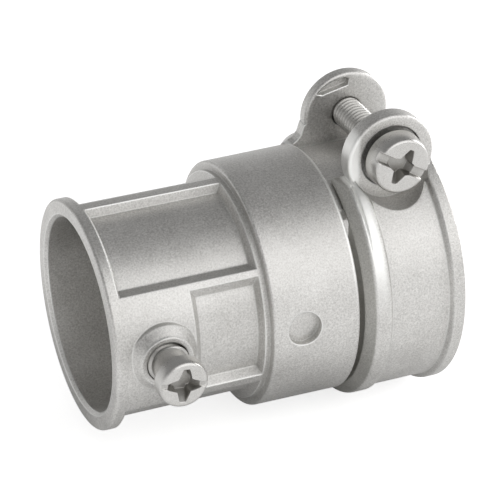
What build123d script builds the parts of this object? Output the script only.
from build123d import *
from math import sin, cos, radians
import os

os.makedirs("parts", exist_ok=True)

# Combination coupling, 1 inch trade size: thin-wall conduit socket with a set screw on the left,
# split clamp for flexible metal conduit on the right. Millimetres. X runs along the bores, from the
# socket's mouth to the clamp's rim; +Z is up through the clamp's ears; the screws' heads face -Y.
# Stations along X are written from the socket's mouth, and everything is moved by -STOP_X at the
# end, so that the finished part's origin is on the axis at the stop the conduit butts against.

# ---- driving dimensions ----
CONDUIT_R = 29.54 / 2          # outside radius of 1 inch thin-wall conduit
SOCKET_FIT = 0.18              # radial room round the conduit
FLEX_R = 33.3 / 2              # outside radius of the largest 1 inch flexible conduit
FLEX_FIT = 0.20                # radial room round it while the clamp is open
THROAT_R = 13.3                # wire way between the two stops
CLAMP_SCREW_R = 4.826 / 2      # #10-32 major radius
SET_SCREW_R = 6.35 / 2         # 1/4-20 major radius
THREAD_FIT = 0.05              # radial room between a screw and its tapped hole
TOTAL_L = 54.6

# socket end
BEAD_R, BEAD_W = 17.7, 2.0     # rolled-looking lip round the mouth
TUBE_R = 16.2
MOUTH_BEVEL = 0.5
STOP_X = 23.5                  # depth of the socket
THROAT_L = 3.0
STEP_X0, STEP_X1 = 22.6, 23.2  # foot and top of the ring the ribs run into
RIBS = [                       # (foot, top edge, top edge, foot) as angles from +Y towards +Z
    (29.0, 33.0, 36.3, 40.3),
    (82.7, 83.7, 90.0, 91.0),
    (139.7, 143.7, 147.0, 151.0),
    (199.5, 201.5, 207.0, 211.0),
    (329.0, 333.0, 338.5, 340.5),
]
PAD_AFTER = 2                  # the pad fills the mouth end of the space after this rib
PAD_X0, PAD_X1 = 12.4, 13.5    # top edge and foot of the pad's end wall

# collar
COLLAR_X0, COLLAR_X1 = 24.0, 37.85
COLLAR_R0, COLLAR_R1 = 19.05, 19.2
DIMPLE = (28.95, 1.5)          # X and Z of the shallow round recess on the front
DIMPLE_R, DIMPLE_DEPTH = 2.8, 1.1

# clamp ring
SLIT = 0.8                     # slit between the collar and the moving jaw
RING_X = COLLAR_X1 + SLIT
FLANK_R = 18.9                 # where the ridge's flank starts, at the slit
RIDGE_R, RIDGE_X0, RIDGE_X1, RIDGE_X2 = 20.65, 40.0, 42.3, 42.75
RIDGE_TOP_Z, RIDGE_END_X = 18.15, 41.0     # flat top of the ridge's upper end, up to its ear
GROOVE = [(40.1, 0.35), (40.45, -0.5), (40.95, 0.35)]      # X and height over the ridge, beside its crest
GROOVE_A0, GROOVE_A1 = 117.0, 147.0
GROOVE_SHIFT = 3.7             # the groove's own centre is this far off the axis, so it runs out at its end
BAND_R = 20.1
NECK_R = 18.8                  # groove between the collar and the fixed half of the ring
RIM_R, RIM_W, RIM_SLOPE = 20.9, 2.5, 0.5
JAW_END_Y = -6.0               # the jaw ends flush with its ear
FLOOR_R = 18.3                 # lowered floor between the ears, part of the casting
FLOOR_END_Y = -6.15            # the floor's free edge, just under the jaw's end
RELIEF_R, RELIEF_Y = 18.5, -8.05   # cut inside the jaw's end, so that it can slide over the floor
TAB_X1, TAB_END_Y = 40.2, -10.4    # beside the collar the floor runs on as a tab, under the ridge
TAB_RELIEF_R, TAB_RELIEF_Y, TAB_GAP = 18.66, -12.5, 0.3
HINGE_A = 288.0                # where the jaw bends, as an angle from +Y towards +Z
HINGE_GAP = 0.06
HINGE_SPREAD = 1.2             # degrees left open outside the bend

# ears and clamp screw
EAR = (47.1, 21.25)            # X and Z of the middle of both ears
EAR_R = 7.0
CLAMP_AXIS = (47.2, 21.6)      # X and Z of the clamp screw's axis
FRONT_EAR_Y0, FRONT_EAR_Y1 = JAW_END_Y, -8.9
REAR_EAR_Y0, REAR_EAR_Y1 = 7.0, 9.1
SPOTFACE_R = 6.4
SEAT_FIT, SEAT_DEPTH = 0.2, 0.5   # round sinking in the front ear behind the screw's head
EAR_EDGE = 0.5
JAW_HOLE_FIT, JAW_HOLE_DROP = 0.467, 0.32   # the hole rises round the screw as the jaw closes
GUSSET_T = 1.9
NOTCH = [(-5.0, 4.2), (-4.1, 5.1), (-2.9, 5.8), (-1.5, 6.2), (-0.3, 6.3), (0.4, 5.9), (0.2, 4.9),
         (-4.1, 3.9)]
NOTCH_DEPTH = 1.0              # shallow recess near the top of the rear ear's inner face
CLAMP_HEAD_Y, CLAMP_HEAD_L = -12.8, 3.2
CLAMP_HEAD_R0, CLAMP_HEAD_R1 = 4.4, 4.65   # front and back of the head
CLAMP_SHANK_L = 22.2

# set screw and its boss
SET = (7.35, 1.0)              # X and Z of its axis
BOSS = [(4.05, -18.9), (4.15, -18.6), (5.35, -17.3)]       # (radius, Y)
SET_HEAD_Y, SET_HEAD_L = -25.6, 2.4
SET_HEAD_R0, SET_HEAD_R1 = 3.7, 3.8
SET_NECK_IN, SET_NECK_L = 0.475, 3.95      # the neck is this much smaller in radius than the thread
SET_TIP_Y = -15.2

# driver recess, both heads
SLOT_W, SLOT_D = 1.6, 0.9
CROSS_W, CROSS_L, CROSS_D = 1.6, 5.0, 1.9
RECESS_TURN = 35.0

# tied sizes
SOCKET_R = CONDUIT_R + SOCKET_FIT
CLAMP_R = FLEX_R + FLEX_FIT
HINGE_R = (BAND_R - CLAMP_R) / 2
HINGE_MID = (BAND_R + CLAMP_R) / 2
CLAMP_TAP_R = CLAMP_SCREW_R + THREAD_FIT
SET_TAP_R = SET_SCREW_R + THREAD_FIT
SEAT_R = CLAMP_HEAD_R1 + SEAT_FIT
JAW_HOLE_R = CLAMP_SCREW_R + JAW_HOLE_FIT
SET_NECK_R = SET_SCREW_R - SET_NECK_IN
FAR = 60.0


def polar(r, a):
    return (r * cos(radians(a)), r * sin(radians(a)))


def turned(points, rounds=(), arc=360):
    """Solid of revolution about X from a closed outline of (x, r) points; rounds = [(index, radius)]."""
    face = make_face(Polyline(*points, close=True))
    for i, r in rounds:
        face = fillet(face.vertices().sort_by_distance((*points[i], 0))[0], r)
    return revolve(face, axis=Axis.X, revolution_arc=arc)


def along_x(points, x0, x1):
    """Prism with the (y, z) outline, from x0 to x1."""
    plane = Plane(origin=(x0, 0, 0), x_dir=(0, 1, 0), z_dir=(1, 0, 0))
    return extrude(plane * make_face(Polyline(*points, close=True)), amount=x1 - x0)


def rod_x(r, x0, x1, y=0.0, z=0.0):
    return Plane(origin=(x0, y, z), x_dir=(0, 1, 0), z_dir=(1, 0, 0)) * Cylinder(
        r, x1 - x0, align=(Align.CENTER, Align.CENTER, Align.MIN))


def rod_y(r, x, z, y0, y1, r1=None):
    """Rod, or cone when r1 is given, along Y from y0 to y1."""
    lo, hi = min(y0, y1), max(y0, y1)
    plane = Plane(origin=(x, lo, z), x_dir=(1, 0, 0), z_dir=(0, 1, 0))
    base = (Align.CENTER, Align.CENTER, Align.MIN)
    if r1 is None:
        return plane * Cylinder(r, hi - lo, align=base)
    a, b = (r, r1) if y0 < y1 else (r1, r)
    return plane * Cone(a, b, hi - lo, align=base)


def disc_y(r, x, z, y0, y1, edge):
    disc = rod_y(r, x, z, y0, y1)
    return fillet(disc.edges().filter_by(GeomType.CIRCLE), edge)


def box(x0, x1, y0, y1, z0, z1):
    return Pos((x0 + x1) / 2, (y0 + y1) / 2, (z0 + z1) / 2) * Box(x1 - x0, y1 - y0, z1 - z0)


def screw(x, z, head_y, head_l, r0, r1, thread_r, tip_y, neck_r=0.0, neck_l=0.0):
    """Pan head with slot and cross, plain shank at the thread's major radius, optional neck, bevelled tip."""
    head = rod_y(r0, x, z, head_y, head_y + head_l, r1=r1)
    head = fillet(head.edges().filter_by(GeomType.CIRCLE).sort_by(Axis.Y)[0], 0.6)
    shank = rod_y(thread_r, x, z, head_y + head_l + neck_l, tip_y)
    shank = chamfer(shank.edges().filter_by(GeomType.CIRCLE), 0.5)
    neck = rod_y(neck_r or thread_r - 0.5, x, z, head_y + 0.5 * head_l, head_y + head_l + neck_l + 0.7)
    slot = Box(2.4 * r0, 2 * SLOT_D, SLOT_W)
    arms = Box(CROSS_L, 2 * CROSS_D, CROSS_W) + Box(CROSS_W, 2 * CROSS_D, CROSS_L)
    recess = Pos(x, head_y, z) * Rot(0, RECESS_TURN, 0) * (slot + arms)
    return head + neck + shank - recess


# ---- casting: socket, collar, fixed half of the clamp and its ear ----
def pocket(foot0, top0, top1, foot1, ends):
    """Recess between two ribs: sides slope through their foot and top edges, ends follow the outline."""
    sides = []
    for foot, top in ((foot0, top0), (foot1, top1)):
        low, high = Vector(*polar(TUBE_R, foot)), Vector(*polar(BEAD_R, top))
        step = high - low
        sides.append([tuple(low - step * 0.6)[:2], tuple(high + step * 0.6)[:2]])
    bend = [top0 + (top1 - top0) * k / 6 for k in range(7)]
    outline = sides[0] + [polar(FAR, a) for a in bend] + sides[1][::-1]
    return along_x(outline, 0, STEP_X1 + 2) & turned(ends)


slope = (STEP_X1 - STEP_X0) / (BEAD_R - TUBE_R)
step_end = [(STEP_X1 + slope * 1.3, BEAD_R + 1.3), (STEP_X0, TUBE_R)]
bead_end = [(BEAD_W, TUBE_R), (BEAD_W, BEAD_R - 0.3), (BEAD_W - 0.35, BEAD_R + 0.05),
            (BEAD_W - 0.35, BEAD_R + 1.3)]
pad_slope = (PAD_X1 - PAD_X0) / (BEAD_R - TUBE_R)
pad_end = [(PAD_X1, TUBE_R), (PAD_X0 - pad_slope * 1.3, BEAD_R + 1.3)]

outer = turned(
    [(0, 0), (0, BEAD_R), (COLLAR_X0, BEAD_R), (COLLAR_X0, COLLAR_R0), (COLLAR_X1, COLLAR_R1),
     (COLLAR_X1, 0)],
    rounds=[(1, 0.45), (3, 0.35), (4, 0.3)])
for i, rib in enumerate(RIBS):
    after = RIBS[(i + 1) % len(RIBS)]
    turn = 360 if i + 1 == len(RIBS) else 0
    start = pad_end if i == PAD_AFTER else bead_end
    outer = outer - pocket(rib[3], rib[2], after[1] + turn, after[0] + turn, start + step_end)

boss_foot = [(BOSS[-1][0], -TUBE_R + 1), (0, -TUBE_R + 1)]
boss_face = make_face(Polyline((0, BOSS[0][1]), *BOSS, *boss_foot, close=True))
boss_face = fillet(boss_face.vertices().sort_by_distance((*BOSS[0], 0))[0], 0.2)
boss = Pos(SET[0], 0, SET[1]) * revolve(boss_face, axis=Axis.Y, revolution_arc=360)

ring = turned(
    [(RING_X, 0), (RING_X, FLANK_R), (RIDGE_X0, RIDGE_R), (RIDGE_X1, RIDGE_R), (RIDGE_X2, BAND_R),
     (TOTAL_L - RIM_W, BAND_R), (TOTAL_L - RIM_W + RIM_SLOPE, RIM_R), (TOTAL_L, RIM_R), (TOTAL_L, 0)],
    rounds=[(2, 0.6), (3, 0.3), (6, 0.3), (7, 0.5)])

hinge = polar(HINGE_MID, HINGE_A)
fixed_side = [(FLOOR_END_Y, FAR), (FLOOR_END_Y, THROAT_R), (0, 0), polar(FAR, HINGE_A + HINGE_SPREAD),
              (FAR, -FAR), (FAR, FAR)]
tab_side = [(TAB_END_Y, FAR), (TAB_END_Y, TUBE_R - 3), (0, 0), (0, FAR)]
jaw_side = [(JAW_END_Y, FAR), (JAW_END_Y, THROAT_R), (0, 0), polar(FAR, HINGE_A), (0, -FAR),
            (-FAR, -FAR), (-FAR, FAR)]

fixed_room = along_x(fixed_side, COLLAR_X1 - 0.5, FAR) + along_x(tab_side, COLLAR_X1 - 0.5, TAB_X1)
fixed_ring = (ring + rod_x(NECK_R, COLLAR_X1 - 0.5, RING_X + 0.3)) & fixed_room
fixed_ring = fixed_ring - rod_x(HINGE_R + HINGE_GAP, COLLAR_X1, FAR, *hinge)
floor_cut = box(COLLAR_X1, FAR, TAB_END_Y - 1, REAR_EAR_Y0, 0, FAR) - rod_x(FLOOR_R, 0, FAR)
fixed_ring = fixed_ring - floor_cut

rear_ear = disc_y(EAR_R, EAR[0], EAR[1], REAR_EAR_Y0, REAR_EAR_Y1, EAR_EDGE)
gusset_outline = [(COLLAR_X1 - 0.9, 15.5), (COLLAR_X1 - 0.9, 17.1), (COLLAR_X1 - 0.2, 17.5),
                  (COLLAR_X1 + 0.9, 18.1),
                  (COLLAR_X1 + 1.7, 19.0), (COLLAR_X1 + 2.2, 20.6), EAR, (EAR[0], 15.5)]
gusset_face = make_face(Polyline(*gusset_outline, close=True))
gusset = extrude(Plane.XZ.offset(-REAR_EAR_Y0) * gusset_face, amount=-GUSSET_T)

casting = outer + boss + fixed_ring + rear_ear + gusset
bore = turned([(-1, 0), (-1, SOCKET_R + MOUTH_BEVEL + 1), (MOUTH_BEVEL, SOCKET_R), (STOP_X, SOCKET_R),
               (STOP_X, THROAT_R), (STOP_X + THROAT_L, THROAT_R), (STOP_X + THROAT_L, CLAMP_R),
               (TOTAL_L - 0.5, CLAMP_R), (TOTAL_L + 0.5, CLAMP_R + 1.0), (TOTAL_L + 0.5, 0)])
casting = casting - bore
casting = casting - rod_y(SET_TAP_R, SET[0], SET[1], BOSS[0][1] - 1, 0)
casting = casting - rod_y(CLAMP_TAP_R, *CLAMP_AXIS, REAR_EAR_Y0 - 1, REAR_EAR_Y1 + 9)
notch = extrude(Plane.XZ.offset(-REAR_EAR_Y0 + 1) * Pos(*EAR) * make_face(Polyline(*NOTCH, close=True)),
                amount=-1 - NOTCH_DEPTH)
casting = casting - notch
casting = casting - rod_y(DIMPLE_R - 0.15, DIMPLE[0], DIMPLE[1], -FAR, -COLLAR_R0 + DIMPLE_DEPTH)

# ---- moving jaw and its ear ----
groove = turned([(x, RIDGE_R + GROOVE_SHIFT + lift) for x, lift in GROOVE], arc=GROOVE_A1 - GROOVE_A0)
jaw = (ring & along_x(jaw_side, RING_X, FAR)) - Rot(GROOVE_A0, 0, 0) * Pos(0, -GROOVE_SHIFT, 0) * groove
jaw = jaw - box(RING_X - 1, RIDGE_END_X, -FAR, FAR, RIDGE_TOP_Z, FAR)
jaw = jaw + rod_x(HINGE_R, RING_X, TOTAL_L, *hinge)
jaw = jaw + disc_y(EAR_R, EAR[0], EAR[1], FRONT_EAR_Y0, FRONT_EAR_Y1, EAR_EDGE)
relief = rod_x(RELIEF_R, RING_X - 1, FAR) & box(0, FAR, RELIEF_Y, FAR, 0, FAR)
tab_relief = rod_x(TAB_RELIEF_R, RING_X - 1, TAB_X1 + TAB_GAP)
relief = relief + (tab_relief & box(0, FAR, TAB_RELIEF_Y, FAR, 0, FAR))
jaw = jaw - bore - relief - rod_y(SPOTFACE_R, EAR[0], EAR[1], FRONT_EAR_Y1, -FAR)
jaw = jaw - rod_y(SEAT_R, *CLAMP_AXIS, FRONT_EAR_Y1 + SEAT_DEPTH, -FAR)
jaw = jaw - rod_y(JAW_HOLE_R, CLAMP_AXIS[0], CLAMP_AXIS[1] - JAW_HOLE_DROP, 0, -FAR)

# ---- screws ----
clamp_screw = screw(*CLAMP_AXIS, CLAMP_HEAD_Y, CLAMP_HEAD_L, CLAMP_HEAD_R0, CLAMP_HEAD_R1, CLAMP_SCREW_R,
                    CLAMP_HEAD_Y + CLAMP_HEAD_L + CLAMP_SHANK_L)
set_screw = screw(*SET, SET_HEAD_Y, SET_HEAD_L, SET_HEAD_R0, SET_HEAD_R1, SET_SCREW_R, SET_TIP_Y,
                  SET_NECK_R, SET_NECK_L)

nodes = [("casting", casting), ("clamp_jaw", jaw), ("clamp_screw", clamp_screw), ("set_screw", set_screw)]
for name, solid in nodes:
    export_step(Pos(-STOP_X, 0, 0) * solid, f"parts/{name}.step")
